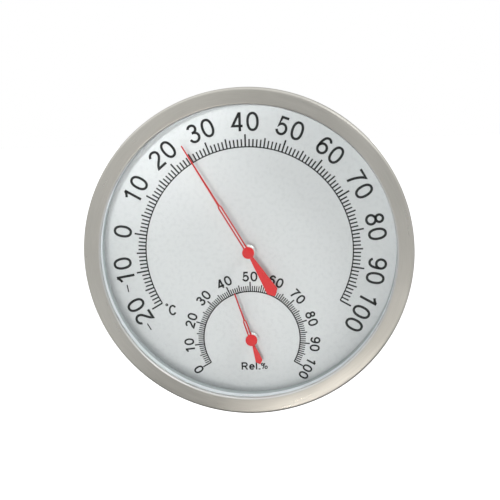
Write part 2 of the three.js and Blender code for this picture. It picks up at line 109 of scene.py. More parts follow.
# Print on the dial: both scales sweep clockwise from the same angle
INK_REAR = DIAL_FRONT + 0.002
INK_FRONT = DIAL_FRONT + 0.03
SWEEP_START = 210.0
SWEEP = 240.0
ARC_STEPS = 180

# Ticks run from units over fives to tens. A numeral's stroke is a share of its height, its
# spread a stretch along the baseline, and its turn an offset in degrees.
MAIN_SCALE = {
    "first": -20,
    "last": 100,
    "drop": 0.0,
    "arc_radius": 42.65,
    "arc_width": 0.5,
    "tick_widths": (0.6, 0.63, 0.67),
    "ticks": (3.12, 3.95, 5.07),
    "height": 7.58,
    "spread": 1.04,
    "baseline": 48.9,
    "stroke": 0.136,
    "turn": 0.15,
}
SMALL_SCALE = {
    "first": 0,
    "last": 100,
    "drop": HUMIDITY_DROP,
    "arc_radius": 20.1,
    "arc_width": 0.48,
    "tick_widths": (0.43, 0.47, 0.56),
    "ticks": (2.35, 3.1, 4.1),
    "height": 3.95,
    "spread": 1.1,
    "baseline": 24.4,
    "stroke": 0.185,
    "turn": 0.0,
}

# Words under the scales, with their height, stroke and place
UNIT_MARKS = (("oC", 4.3, 0.175, (-33.9, -26.55)), ("Rel.%", 3.1, 0.2, (0.45, -50.6)))

# Where painted light changes a finish: a painted highlight outside the window's edge, painted
# shade up the spacer's wall and along a needle
HIGHLIGHT_EDGE = (0.3, 0.7)
SHADED_WALL_DEPTHS = (17.1, 17.9)
SHADED_NEEDLE_SPAN = (1.5, 4.0)
NEEDLE_SHADE_RED = (0.5, 0.008, 0.01)
LIP_HIGHLIGHT_STEEL = (0.68, 0.68, 0.67)
WALL_SHADE_GREY = (0.46, 0.5, 0.51)

# Octaves of fine and of broad noise, roughness of the fine, and how much broader is broad
FINE_OCTAVES = 4.0
FINE_ROUGHNESS = 0.6
BROAD_OCTAVES = 2.0
BROADER = 14

# Brushed metal: its wide rings against its fine ones, across and along, its clouds, and how
# far lines and clouds tint it
WIDE_ACROSS = 9
WIDE_ALONG = 2
CLOUD_SCALE = 38.0
LINE_SHARE = 0.55
CLOUD_SHARE = 0.45

# Depth of the brushed lines and of the fine mottle, in metres
GRAIN_DEPTH = 0.00002
MOTTLE_DEPTH = 0.00005

# Glass: its tint, how rough its gloss is, and how steeply that rises at grazing angles
GLASS_TINT = (0.985, 0.995, 0.99)
GLASS_ROUGHNESS = (0.01, 0.04)
SMUDGE_SCALE = 60.0
SMUDGE_OCTAVES = 3.0
GRAZING_POWER = 5.0

# Camera: the direction it looks from, its distance and roll, and the width it takes in
CAMERA_AZIMUTH = 4.34
CAMERA_ELEVATION = 10.3
CAMERA_DISTANCE = 0.38
CAMERA_ROLL = 1.95
CLIP_START = 0.01
VIEW_WIDTH = 0.19976
SENSOR = 36.0
AIM = Vector((0.00121, -BEZEL_FRONT * MM, 0.00224))

# Lamps, in metres, degrees and watts. Two spots brighten the dial's upper left.
WHITE = (1.0, 1.0, 1.0)
KEY_PLACE = (-0.2, -1.2, -0.23)
KEY_WATTS = 5.85
KEY_SIZE = 0.42
SHEEN_PLACE = (-0.13, -0.6, 0.12)
SHEEN_TARGETS = (138, 106)
SHEEN_RADIUS = 74
SHEEN_BEAM = 7.1
SHEEN_WATTS = 11.0
SHEEN_SIZE = 0.03
GLINT_DIRECTION = (35, 33)
GLINT_DISTANCE = 0.8
GLINT_WATTS = 0.35
GLINT_SIZE = 0.3
WALL_PLACE = Vector((0.7, -0.155, 0.7)) * 0.8
WALL_WATTS = 13.0
WALL_SIZE = 0.3
WARM = (1.0, 0.93, 0.86)
WARM_DISTANCE = 0.6
WARM_LAMPS = ((8, -29, 0.155, 0.16), (-2.5, -31, 0.078, 0.08), (15, -19, 0.04, 0.16))

# The room as metal sees it: an axis, a span along it and the light at the span's ends
ROOM = (
    ("Y", -1.0, -0.3, 0.62, 0.75),
    ("Y", 0.2, 0.7, 1.0, 0.45),
    ("Z", 0.1, 0.6, 1.0, 1.6),
    ("Z", -0.85, -0.5, 0.3, 1.0),
)

# Cards in that room: direction, the angles at which each ends and is full, and its gain
CARDS = (
    (-8.5, -25, 10, 5.5, 0.12),
    (-16, 3, 12.5, 4, 1.35),
    (-20, -19, 11, 4, 1.65),
    (2.5, 6, 8, 3, 0.3),
)

# Fill light: a span from front to back, and one towards the lower left
FILL_DEPTH = (-0.6, -0.2, 0.25, 0.88)
FILL_DIRECTION = (-0.9, 0.0, -0.44)
FILL_SIDE = (-0.8, 0.8, 0.15, 2.6)

FLOOR_HEIGHT = -0.5
FLOOR_REACH = 8.0
FLOOR_GLOW = 0.72


def place(x, y, depth):
    return Vector((x, -depth, y)) * MM


# Shapes


def finish_mesh(bm, name, body, material):
    bmesh.ops.recalc_face_normals(bm, faces=bm.faces)
    mesh = bpy.data.meshes.new(name)
    bm.to_mesh(mesh)
    bm.free()
    mesh.polygons.foreach_set("use_smooth", [True] * len(mesh.polygons))
    mesh.set_sharp_from_angle(angle=math.radians(SHARP_ANGLE))
    piece = bpy.data.objects.new(name, mesh)
    bpy.context.scene.collection.objects.link(piece)
    mesh.materials.append(material)
    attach(piece, body)
    return piece


def turned(name, section, sides, body, material, drop=0.0):
    """Turns a closed section of (radius, depth) about the case axis, or about one below it."""
    bm = bmesh.new()
    rings = []
    for radius, depth in section:
        if radius < TINY:
            rings.append([bm.verts.new(place(0, -drop, depth))] * sides)
            continue
        ring = []
        for k in range(sides):
            angle = 2 * math.pi * k / sides
            at = place(radius * math.cos(angle), radius * math.sin(angle) - drop, depth)
            ring.append(bm.verts.new(at))
        rings.append(ring)
    for i, ring in enumerate(rings):
        following = rings[(i + 1) % len(rings)]
        for k in range(sides):
            corners = [ring[k - 1], ring[k], following[k], following[k - 1]]
            corners = list(dict.fromkeys(corners))
            if len(corners) > 2:
                bm.faces.new(corners)
    return finish_mesh(bm, name, body, material)


def rounded(corners, steps):
    """A path through corners of ((x, y), radius), each rounded in so many steps."""
    path = []
    for i, (at, radius) in enumerate(corners):
        at = Vector(at)
        if not radius or i in (0, len(corners) - 1):
            path.append(at)
            continue
        back = (Vector(corners[i - 1][0]) - at).normalized()
        ahead = (Vector(corners[i + 1][0]) - at).normalized()
        half = back.angle(ahead) / 2
        centre = at + (back + ahead).normalized() * (radius / math.sin(half))
        start = at + back * (radius / math.tan(half)) - centre
        end = at + ahead * (radius / math.tan(half)) - centre
        turn = start.angle_signed(end)
        for k in range(steps + 1):
            swing = Matrix.Rotation(-turn * k / steps, 2)
            path.append(centre + swing @ start)
    return [tuple(p) for p in path]


def sheet_section(line, sheet, bends, steps=BEND_STEPS):
    """The outline of a bent sheet round its centre line, with a bend radius per corner."""
    sides = []
    bends = [0.0, *bends, 0.0]
    for side in (1, -1):
        corners = []
        for i, at in enumerate(line):
            at = Vector(at)
            before = Vector(line[max(i - 1, 0)])
            after = Vector(line[min(i + 1, len(line) - 1)])
            incoming = (at - before).normalized() if i else (after - at).normalized()
            last = i == len(line) - 1
            outgoing = incoming.copy() if last else (after - at).normalized()
            normals = [Vector((-d.y, d.x)) for d in (incoming, outgoing)]
            mitre = (normals[0] + normals[1]).normalized()
            corner = at + mitre * (side * sheet / 2 / mitre.dot(normals[0]))
            turn = incoming.x * outgoing.y - incoming.y * outgoing.x
            inner = math.copysign(1, turn) * side
            radius = 0 if abs(turn) < TINY else bends[i] - inner * sheet / 2
            corners.append((tuple(corner), radius))
        sides.append(rounded(corners, steps))
    return sides[0] + sides[1][::-1]


def add_ribbon(bm, points, width, rear, front, closed=False):
    """A flat strip of one width along points on the dial, as a thin closed solid."""
    points = [Vector(p) for p in points]
    count = len(points)
    rows = []
    for i, at in enumerate(points):
        ends = i in (0, count - 1) and not closed
        before = points[i - 1] if i or closed else None
        after = points[(i + 1) % count] if i < count - 1 or closed else None
        incoming = (at - before).normalized() if before else (after - at).normalized()
        outgoing = (after - at).normalized() if after else incoming
        normals = [Vector((-d.y, d.x)) for d in (incoming, outgoing)]
        mitre = (normals[0] + normals[1]).normalized()
        reach = width / 2 / (1 if ends else max(mitre.dot(normals[0]), MITRE_LIMIT))
        row = []
        for side, depth in ((1, front), (-1, front), (-1, rear), (1, rear)):
            p = at + mitre * (side * reach)
            row.append(bm.verts.new(place(p.x, p.y, depth)))
        rows.append(row)
    for i in range(count if closed else count - 1):
        row, following = rows[i], rows[(i + 1) % count]
        for k in range(4):
            corners = [row[k], row[(k + 1) % 4], following[(k + 1) % 4], following[k]]
            bm.faces.new(corners)
    if not closed:
        bm.faces.new(rows[0])
        bm.faces.new(rows[-1][::-1])


# Lettering: centre lines of single-width strokes, in heights of a capital. The lowest and
# highest lines leave room for half a stroke, and all digits take the same width.
LOW = 0.06
HIGH = 1 - LOW
DIGIT_ADVANCE = 0.777
DIGIT_WIDTH = 0.61


def oval(cx, cy, rx, ry, start=0.0, end=360.0, power=2.0, steps=28):
    path = []
    for k in range(steps + 1):
        angle = math.radians(start + (end - start) * k / steps)
        c, s = math.cos(angle), math.sin(angle)
        x = math.copysign(abs(c) ** (2 / power), c)
        y = math.copysign(abs(s) ** (2 / power), s)
        path.append((cx + rx * x, cy + ry * y))
    return path


def curve(p0, p1, p2, p3, steps=10):
    path = []
    for k in range(steps + 1):
        t = k / steps
        weights = ((1 - t) ** 3, 3 * t * (1 - t) ** 2, 3 * t * t * (1 - t), t**3)
        points = (p0, p1, p2, p3)
        path.append(tuple(sum(w * p[a] for w, p in zip(weights, points)) for a in (0, 1)))
    return path


def turned_round(strokes, cx, cy):
    return [([(2 * cx - x, 2 * cy - y) for x, y in path], closed) for path, closed in strokes]


SIX = [
    (oval(0.305, 0.318, 0.238, 0.318 - LOW)[:-1], True),
    (
        oval(0.325, 0.72, 0.195, HIGH - 0.72, 20, 110, steps=10)
        + curve((0.25, 0.93), (0.1, 0.86), (0.06, 0.62), (0.068, 0.32))[1:],
        False,
    ),
]
# Each letter's advance, and its strokes as points and whether they close
GLYPHS = {
    "0": (
        DIGIT_ADVANCE,
        [(oval(0.305, 0.5, 0.253, 0.5 - LOW, power=2.25, steps=40)[:-1], True)],
    ),
    "1": (
        DIGIT_ADVANCE,
        [
            ([(0.375, 0.0), (0.375, 1.0)], False),
            (curve((0.11, 0.745), (0.22, 0.8), (0.32, 0.88), (0.36, 0.985)), False),
        ],
    ),
    "2": (
        DIGIT_ADVANCE,
        [
            (
                oval(0.3, 0.715, 0.23, HIGH - 0.715, 172, 0, steps=18)
                + curve((0.53, 0.7), (0.52, 0.45), (0.14, 0.32), (0.06, LOW))[1:]
                + [(0.555, LOW)],
                False,
            ),
        ],
    ),
    "3": (
        DIGIT_ADVANCE,
        [
            (oval(0.285, 0.745, 0.2, HIGH - 0.745, 165, -90, steps=20), False),
            (
                [(0.22, 0.54)]
                + oval(0.29, 0.296, 0.24, 0.54 - 0.296, 90, -168, steps=24),
                False,
            ),
        ],
    ),
    "4": (
        DIGIT_ADVANCE,
        [
            ([(0.425, 0.0), (0.425, 1.0)], False),
            ([(0.4, 0.97), (0.055, 0.28), (0.575, 0.28)], False),
        ],
    ),
    "5": (
        DIGIT_ADVANCE,
        [
            (
                [(0.51, HIGH), (0.165, HIGH), (0.095, 0.48)]
                + oval(0.285, 0.335, 0.24, 0.335 - LOW, 128, -165, steps=24),
                False,
            ),
        ],
    ),
    "6": (DIGIT_ADVANCE, SIX),
    "7": (
        DIGIT_ADVANCE,
        [
            (
                [(0.03, HIGH)] + curve((0.55, HIGH), (0.4, 0.8), (0.24, 0.44), (0.2, 0.0)),
                False,
            ),
        ],
    ),
    "8": (
        DIGIT_ADVANCE,
        [
            (oval(0.3, 0.745, 0.19, HIGH - 0.745)[:-1], True),
            (oval(0.3, 0.296, 0.238, 0.54 - 0.296)[:-1], True),
        ],
    ),
    "9": (DIGIT_ADVANCE, turned_round(SIX, 0.305, 0.5)),
    "-": (0.46, [([(-0.02, 0.53), (0.38, 0.53)], False)]),
    "o": (0.45, [(oval(0.25, 1.03, 0.09, 0.09, steps=20)[:-1], True)]),
    "C": (0.78, [(oval(0.36, 0.5, 0.305, 0.5 - LOW, 35, 328, steps=32), False)]),
    "R": (
        1.03,
        [
            ([(0.1, 0.0), (0.1, HIGH), (0.5, HIGH)], False),
            (oval(0.5, 0.71, 0.25, HIGH - 0.71, 90, -90, steps=14) + [(0.1, 0.47)], False),
            ([(0.47, 0.47), (0.79, 0.0)], False),
        ],
    ),
    "e": (
        0.88,
        [
            (
                [(0.1, 0.37), (0.66, 0.37)]
                + oval(0.38, 0.37, 0.28, 0.37 - LOW, 5, 318, steps=26)[1:],
                False,
            ),
        ],
    ),
    "l": (0.4, [([(0.12, 0.0), (0.12, 1.0)], False)]),
    ".": (0.4, [([(0.12, 0.0), (0.12, 0.15)], False)]),
    "%": (
        0.82,
        [
            (oval(0.12, 0.72, 0.13, 0.15, steps=20)[:-1], True),
            (oval(0.61, 0.3, 0.155, 0.175, steps=20)[:-1], True),
            ([(0.45, 0.9), (0.16, 0.08)], False),
        ],
    ),
}

# Signs that are printed finer or bolder than the letters beside them
STROKE_FACTORS = {"-": 0.45, "o": 0.6, "%": 0.75, ".": 1.4}


def add_words(bm, words, height, stroke, at, angle=90.0, spread=1.0):
    """Letters along the baseline through at, upright towards angle, centred on it."""
    up = Vector((math.cos(math.radians(angle)), math.sin(math.radians(angle))))
    along = Vector((up.y, -up.x))
    gap = DIGIT_ADVANCE - DIGIT_WIDTH
    left = (gap - sum(GLYPHS[letter][0] for letter in words)) / 2
    for letter in words:
        advance, strokes = GLYPHS[letter]
        for path, closed in strokes:
            points = []
            for u, v in path:
                point = Vector(at) + along * ((left + u) * height * spread)
                points.append(point + up * (v * height))
            width = stroke * height * STROKE_FACTORS.get(letter, 1.0)
            add_ribbon(bm, points, width, INK_REAR, INK_FRONT, closed)
        left += advance


def scale_angle(scale, value):
    return SWEEP_START - SWEEP * (value - scale["first"]) / (scale["last"] - scale["first"])


def on_ring(radius, angle, drop=0.0):
    angle = math.radians(angle)
    return Vector((radius * math.cos(angle), radius * math.sin(angle) - drop))


def print_scale(name, scale, ink):
    bm = bmesh.new()
    drop, inner = scale["drop"], scale["arc_radius"]
    line = []
    for k in range(ARC_STEPS + 1):
        line.append(on_ring(inner, SWEEP_START - SWEEP * k / ARC_STEPS, drop))
    add_ribbon(bm, line, scale["arc_width"], INK_REAR, INK_FRONT)
    for value in range(scale["first"], scale["last"] + 1):
        size = 2 if value % 10 == 0 else 1 if value % 5 == 0 else 0
        angle = scale_angle(scale, value)
        ends = [on_ring(inner + reach, angle, drop) for reach in (0, scale["ticks"][size])]
        add_ribbon(bm, ends, scale["tick_widths"][size], INK_REAR, INK_FRONT)
    finish_mesh(bm, name + "_graduation", "case", ink)
    bm = bmesh.new()
    for value in range(scale["first"], scale["last"] + 1, 10):
        angle = scale_angle(scale, value) - scale["turn"]
        at = on_ring(scale["baseline"], angle, drop)
        add_words(bm, str(value), scale["height"], scale["stroke"], at, angle, scale["spread"])
    finish_mesh(bm, name + "_numerals", "case", ink)


# Finishes


class Finish:
    """A material with one Principled shader and short ways to add nodes to it."""

    def __init__(self, name, **settings):
        self.material = bpy.data.materials.new(name)
        self.material.use_nodes = True
        self.tree = self.material.node_tree
        self.shader = self.tree.nodes["Principled BSDF"]
        for socket, value in settings.items():
            self.shader.inputs[socket.replace("_", " ")].default_value = value

    def node(self, kind, values=None, **settings):
        node = self.tree.nodes.new("ShaderNode" + kind)
        for key, value in settings.items():
            setattr(node, key, value)
        for key, value in (values or {}).items():
            if isinstance(value, bpy.types.NodeSocket):
                self.tree.links.new(value, node.inputs[key])
            else:
                node.inputs[key].default_value = value
        return node

    def math(self, operation, first, second=0.0):
        return self.node("Math", {0: first, 1: second}, operation=operation).outputs[0]

    def drive(self, socket, source):
        self.tree.links.new(source, self.shader.inputs[socket])

    def place(self):
        return self.node("TexCoord").outputs["Object"]

    def noise(self, scale, detail, roughness=0.5, vector=None):
        vector = vector or self.place()
        values = {"Vector": vector, "Scale": scale, "Detail": detail, "Roughness": roughness}
        return self.node("TexNoise", values).outputs["Fac"]

    def split(self):
        return self.node("SeparateXYZ", {0: self.place()}).outputs

    def depth(self, rear, front):
        """0 up to one depth in millimetres and 1 from another."""
        return self.between(self.split()["Y"], 0.0, 1.0, -rear * MM, -front * MM)

    def radius(self):
        """Metres from the case axis."""
        at = self.split()
        squares = [self.math("POWER", at[axis], 2.0) for axis in ("X", "Z")]
        return self.math("SQRT", self.math("ADD", *squares))

    def ring_grain(self, across, along):
        """Noise in fine circles about the case axis: across per metre, along per turn."""
        at = self.split()
        turn = self.math("ARCTAN2", at["Z"], at["X"])
        vector = self.node(
            "CombineXYZ",
            {
                "X": self.math("MULTIPLY", self.radius(), across),
                "Y": self.math("MULTIPLY", self.math("COSINE", turn), along),
                "Z": self.math("MULTIPLY", self.math("SINE", turn), along),
            },
        )
        return self.noise(1.0, FINE_OCTAVES, FINE_ROUGHNESS, vector.outputs[0])

    def between(self, factor, low, high, from_min=0.3, from_max=0.7):
        """Low to high as the factor rises; the default span holds most of a noise's values."""
        values = {"Value": factor, "From Min": from_min, "From Max": from_max}
        values.update({"To Min": low, "To Max": high})
        return self.node("MapRange", values).outputs[0]

    def mixed(self, factor, first, second):
        node = self.node("Mix", {"Factor": factor}, data_type="RGBA")
        for socket, colour in (("A", first), ("B", second)):
            slot = next(s for s in node.inputs if s.name == socket and s.type == "RGBA")
            if isinstance(colour, bpy.types.NodeSocket):
                self.tree.links.new(colour, slot)
            else:
                slot.default_value = (*colour, 1.0)
        return next(s for s in node.outputs if s.type == "RGBA")

    def bump(self, height, strength, distance):
        values = {"Height": height, "Strength": strength, "Distance": distance}
        self.drive("Normal", self.node("Bump", values).outputs[0])

    def show(self, surface):
        """Sends another node than the shader to the surface."""
        output = self.tree.nodes["Material Output"]
        self.tree.links.new(surface.outputs[0], output.inputs["Surface"])


def mottled(name, dark, light, scale, rough, bump=0.1, **settings):
    """A finish whose colour, gloss and surface vary with fine noise."""
    finish = Finish(name, **settings)
    fine = finish.noise(scale, FINE_OCTAVES, FINE_ROUGHNESS)
    broad = finish.noise(scale / BROADER, BROAD_OCTAVES)
    mean = finish.math("MULTIPLY", finish.math("ADD", fine, broad), 0.5)
    finish.colour = finish.mixed(finish.between(mean, 0.0, 1.0), dark, light)
    finish.drive("Base Color", finish.colour)
    finish.drive("Roughness", finish.between(broad, *rough))
    finish.bump(fine, bump, MOTTLE_DEPTH)
    return finish


def ring_brushed(
    name, dark, light, rough, anisotropy, bump=0.25, across=5200.0, along=7.0, metallic=1.0
):
    """Metal brushed in circles about the case axis."""
    finish = Finish(name, Metallic=metallic, Anisotropic=anisotropy, Anisotropic_Rotation=0.25)
    grain = finish.ring_grain(across, along)
    wide = finish.ring_grain(across / WIDE_ACROSS, along / WIDE_ALONG)
    lines = finish.math("MULTIPLY", grain, LINE_SHARE)
    clouds = finish.noise(CLOUD_SCALE, BROAD_OCTAVES)
    clouds = finish.math("MULTIPLY", clouds, CLOUD_SHARE)
    tone = finish.between(finish.math("ADD", lines, clouds), 0.0, 1.0)
    finish.colour = finish.mixed(tone, dark, light)
    finish.drive("Base Color", finish.colour)
    finish.drive("Roughness", finish.between(wide, *rough))
    tangent = finish.node("Tangent", direction_type="RADIAL", axis="Y")
    finish.drive("Tangent", tangent.outputs[0])
    finish.bump(grain, bump, GRAIN_DEPTH)
    return finish


def pointer_red(name, rest, drop):
    """Red lacquer with painted shade: the needle of a pointer is darker than its hub and tail.
    """
    red = mottled(name, *RED_LACQUER, bump=0.08, Coat_Weight=0.1)
    at = red.split()
    across = red.math("MULTIPLY", at["X"], -math.sin(math.radians(rest)))
    raised = red.math("ADD", at["Z"], drop * MM)
    along = red.math("ADD", across, red.math("MULTIPLY", raised, math.cos(math.radians(rest))))
    needle = red.between(along, 0.0, 1.0, *(end * MM for end in SHADED_NEEDLE_SPAN))
    red.drive("Base Color", red.mixed(needle, red.colour, NEEDLE_SHADE_RED))
    return red


bezel_steel = ring_brushed(
    "bezel_steel", (0.52, 0.51, 0.465), (0.63, 0.615, 0.57), (0.27, 0.36), 0.75
)
# Lighter steel just outside the window's edge: a painted highlight along the lip
edge = [(WINDOW_RADIUS + width) * MM for width in HIGHLIGHT_EDGE]
painted_lip_highlight = bezel_steel.between(bezel_steel.radius(), 1.0, 0.0, *edge)
lip_with_highlight = bezel_steel.mixed(painted_lip_highlight, bezel_steel.colour, LIP_HIGHLIGHT_STEEL)
bezel_steel.drive("Base Color", lip_with_highlight)
drum_steel = ring_brushed(
    "drum_steel", (0.5, 0.5, 0.48), (0.6, 0.6, 0.58), (0.32, 0.45), 0.3, along=3.0
)
spacer_aluminium = ring_brushed(
    "spacer_aluminium",
    (0.88, 0.91, 0.95),
    (0.93, 0.96, 1.0),
    (0.3, 0.4),
    0.2,
    bump=0.1,
    metallic=0.1,
)
# The spacer's wall is greyer towards the dial than at its front edge: painted shade in the
# recess by the dial
bright = spacer_aluminium.depth(*SHADED_WALL_DEPTHS)
wall_colour_with_shade = spacer_aluminium.mixed(bright, WALL_SHADE_GREY, spacer_aluminium.colour)
spacer_aluminium.drive("Base Color", wall_colour_with_shade)

# Dark and light colour, fineness of the mottle, and least and most roughness
RED_LACQUER = ((0.58, 0.008, 0.011), (0.68, 0.014, 0.018), 1400.0, (0.34, 0.46))
MOTTLED = {
    "gasket_rubber": ((0.014, 0.018, 0.018), (0.028, 0.032, 0.032), 900.0, (0.7, 0.9)),
    "ring_moulding": ((0.02, 0.022, 0.023), (0.035, 0.037, 0.038), 1500.0, (0.5, 0.65)),
    "zinc_plate": ((0.5, 0.51, 0.5), (0.62, 0.63, 0.61), 700.0, (0.22, 0.4)),
    "bush_nickel": ((0.93, 0.94, 0.93), (0.97, 0.97, 0.96), 1200.0, (0.18, 0.28)),
    "movement_brass": ((0.52, 0.36, 0.13), (0.64, 0.47, 0.2), 600.0, (0.25, 0.4)),
    "bimetal_strip": ((0.3, 0.24, 0.18), (0.42, 0.34, 0.26), 400.0, (0.32, 0.5)),
    "humidity_strip": ((0.26, 0.19, 0.11), (0.38, 0.28, 0.17), 400.0, (0.45, 0.65)),
    "spindle_steel": ((0.56, 0.57, 0.56), (0.66, 0.67, 0.65), 1500.0, (0.18, 0.28)),
    "cap_red": ((0.57, 0.009, 0.012), (0.67, 0.015, 0.019), 1700.0, (0.38, 0.5)),
    "print_ink": ((0.006, 0.006, 0.007), (0.014, 0.014, 0.015), 900.0, (0.4, 0.55)),
    "dial_silver": ((0.63, 0.632, 0.645), (0.658, 0.657, 0.668), 9000.0, (0.26, 0.3)),
    "floor_paint": ((0.8, 0.8, 0.8), (0.84, 0.84, 0.84), 3.0, (0.8, 0.95)),
}
# What differs from mottled()'s own bump and from a plain shader
SETTINGS = {
    "gasket_rubber": {"Specular_IOR_Level": 0.3},
    "ring_moulding": {"bump": 0.3},
    "zinc_plate": {"Metallic": 1.0},
    "bush_nickel": {"Metallic": 0.9},
    "movement_brass": {"Metallic": 1.0},
    "bimetal_strip": {"Metallic": 1.0},
    "humidity_strip": {"Metallic": 0.7},
    "spindle_steel": {"Metallic": 1.0},
    "cap_red": {"bump": 0.12},
    "print_ink": {"bump": 0.05},
    "dial_silver": {"bump": 0.02, "Specular_IOR_Level": 0.25},
    "floor_paint": {"bump": 0.02, "Specular_IOR_Level": 0.1},
}
finishes = {}
for name, row in MOTTLED.items():
    finishes[name] = mottled(name, *row, **SETTINGS[name])

lens_glass = Finish("lens_glass")
smudge = lens_glass.noise(SMUDGE_SCALE, SMUDGE_OCTAVES)
smudge = lens_glass.between(smudge, *GLASS_ROUGHNESS)
clear = lens_glass.node("BsdfTransparent", {"Color": (*GLASS_TINT, 1.0)})
gloss = lens_glass.node("BsdfAnisotropic", {"Color": (*WHITE, 1.0), "Roughness": smudge})
facing = lens_glass.node("LayerWeight", {"Blend": 0.5}).outputs["Facing"]
coated = lens_glass.math("POWER", facing, GRAZING_POWER)
shaders = {0: coated, 1: clear.outputs[0], 2: gloss.outputs[0]}
lens_glass.show(lens_glass.node("MixShader", shaders))
lens_glass.tree.nodes.remove(lens_glass.shader)

NODE_FINISHES = {
    "bezel_ring": bezel_steel,
    "case_drum": drum_steel,
    "lens_gasket": finishes["gasket_rubber"],
    "lens": lens_glass,
    "spacer_ring": spacer_aluminium,
    "dial_plate": finishes["dial_silver"],
    "support_ring": finishes["ring_moulding"],
    "rear_cover": drum_steel,
    "rear_screw_1": finishes["zinc_plate"],
    "rear_screw_2": finishes["zinc_plate"],
    "rear_screw_3": finishes["zinc_plate"],
    "temp_coil": finishes["bimetal_strip"],
    "hum_coil": finishes["humidity_strip"],
    "temp_pointer": pointer_red("temperature_red", TEMPERATURE_REST, 0.0),
    "hum_pointer": pointer_red("humidity_red", HUMIDITY_REST, HUMIDITY_DROP),
}
MOVEMENT_FINISHES = {
    "bush": "bush_nickel",
    "bush_nut": "movement_brass",
    "bridge": "zinc_plate",
    "spindle": "spindle_steel",
    "collet": "movement_brass",
    "pointer_boss": "movement_brass",
    "pointer_cap": "cap_red",
}
for prefix in ("temp", "hum"):
    for part, name in MOVEMENT_FINISHES.items():
        NODE_FINISHES[f"{prefix}_{part}"] = finishes[name]
for node, finish in NODE_FINISHES.items():
    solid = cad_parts[node]
    solid.data.materials.clear()
    solid.data.materials.append(finish.material)


def stand_for(node):
    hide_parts(node)


# Case: finer turned forms in place of the faceted solids
half = CASE_SHEET / 2
bezel = turned(
    "bezel",
    sheet_section(
        [
            (CRIMP_RADIUS, BEZEL_REAR + half),
            (BEZEL_RADIUS - half, BEZEL_REAR + half),
            (BEZEL_RADIUS - half, BEZEL_FRONT - half),
            (WINDOW_RADIUS + half, BEZEL_FRONT - half),
            (WINDOW_RADIUS + half, LIP_REAR),
        ],
        CASE_SHEET,
        (BEZEL_BEND, BEZEL_BEND, LIP_BEND),
        FINE_BEND_STEPS,
    ),
    RING_SIDES,
    "case",
    bezel_steel.material,
)
stand_for("bezel_ring")
drum = turned(
    "drum",
    sheet_section(
        [
            (DRUM_HEM_RADIUS, DRUM_REAR + half),
            (DRUM_RADIUS - half, DRUM_REAR + half),
            (DRUM_RADIUS - half, DRUM_FLANGE_FRONT - half),
            (FLANGE_RADIUS, DRUM_FLANGE_FRONT - half),
        ],
        CASE_SHEET,
        (DRUM_BEND, DRUM_BEND),
    ),
    DRUM_SIDES,
    "case",
    drum_steel.material,
)
stand_for("case_drum")
half = SPACER_SHEET / 2
spacer = turned(
    "spacer",
    sheet_section(
        [
            (FLANGE_RADIUS, SPACER_FRONT - half),
            (SPACER_WALL, SPACER_FRONT - half),
            (SPACER_WALL, DIAL_FRONT + SEAT_GAP),
        ],
        SPACER_SHEET,
        (SPACER_BEND,),
    ),
    RING_SIDES,
    "case",
    spacer_aluminium.material,
)
stand_for("spacer_ring")

# Caps and bushes
for prefix, body, rear, drop in (
    ("temp", "temperature_pointer", TEMPERATURE_CAP_REAR, 0.0),
    ("hum", "humidity_pointer", HUMIDITY_CAP_REAR, HUMIDITY_DROP),
):
    front = rear + CAP_HEIGHT
    crown = rounded(
        [
            ((CAP_RADIUS, rear), 0),
            ((CAP_RADIUS, front - CAP_CROWN), CAP_EDGE),
            ((0.0, front), 0),
        ],
        FINE_BEND_STEPS,
    )
    socket = [
        (0.0, rear + CAP_SOCKET_DEPTH),
        (CAP_SOCKET_RADIUS, rear + CAP_SOCKET_DEPTH),
        (CAP_SOCKET_RADIUS, rear),
    ]
    red = finishes["cap_red"].material
    cap = turned(prefix + "_cap", socket + crown, SMALL_SIDES, body, red, drop)
    stand_for(prefix + "_pointer_cap")
    section = rounded(
        [
            ((BUSH_BORE, BUSH_REAR), 0),
            ((BUSH_RADIUS, BUSH_REAR), 0),
            ((BUSH_RADIUS, BUSH_FLANGE_REAR), 0),
            ((BUSH_FLANGE_RADIUS, BUSH_FLANGE_REAR), 0),
            ((BUSH_FLANGE_RADIUS, BUSH_EDGE_FRONT), BUSH_EDGE_BEND),
            ((BUSH_CROWN_RADIUS, BUSH_FLANGE_FRONT), BUSH_CROWN_BEND),
            ((BUSH_BORE, BUSH_FLANGE_FRONT), 0),
        ],
        FINE_BEND_STEPS,
    )
    nickel = finishes["bush_nickel"].material
    bush = turned(prefix + "_bush_turned", section, SMALL_SIDES, "case", nickel, drop)
    stand_for(prefix + "_bush")

# Print
ink = finishes["print_ink"].material
print_scale("temperature", MAIN_SCALE, ink)
print_scale("humidity", SMALL_SCALE, ink)
marks = bmesh.new()
for mark in UNIT_MARKS:
    add_words(marks, *mark)
finish_mesh(marks, "unit_marks", "case", ink)


# Studio


def toward(azimuth, elevation):
    """The direction at so many degrees to the right of the dial's axis and above it."""
    a, e = math.radians(azimuth), math.radians(elevation)
    return Vector((math.sin(a) * math.cos(e), -math.cos(a) * math.cos(e), math.sin(e)))


middle = place(0, 0, DIAL_FRONT)


def lamp(name, kind, at, power, aim=middle, colour=WHITE, **settings):
    light = bpy.data.lights.new(name, kind)
    light.energy = power
    light.color = colour
    for setting, value in settings.items():
        setattr(light, setting, value)
    holder = bpy.data.objects.new(name, light)
    bpy.context.scene.collection.objects.link(holder)
    holder.location = at
    holder.rotation_euler = (Vector(aim) - Vector(at)).to_track_quat("-Z", "Y").to_euler()
    holder.visible_camera = False
    return holder


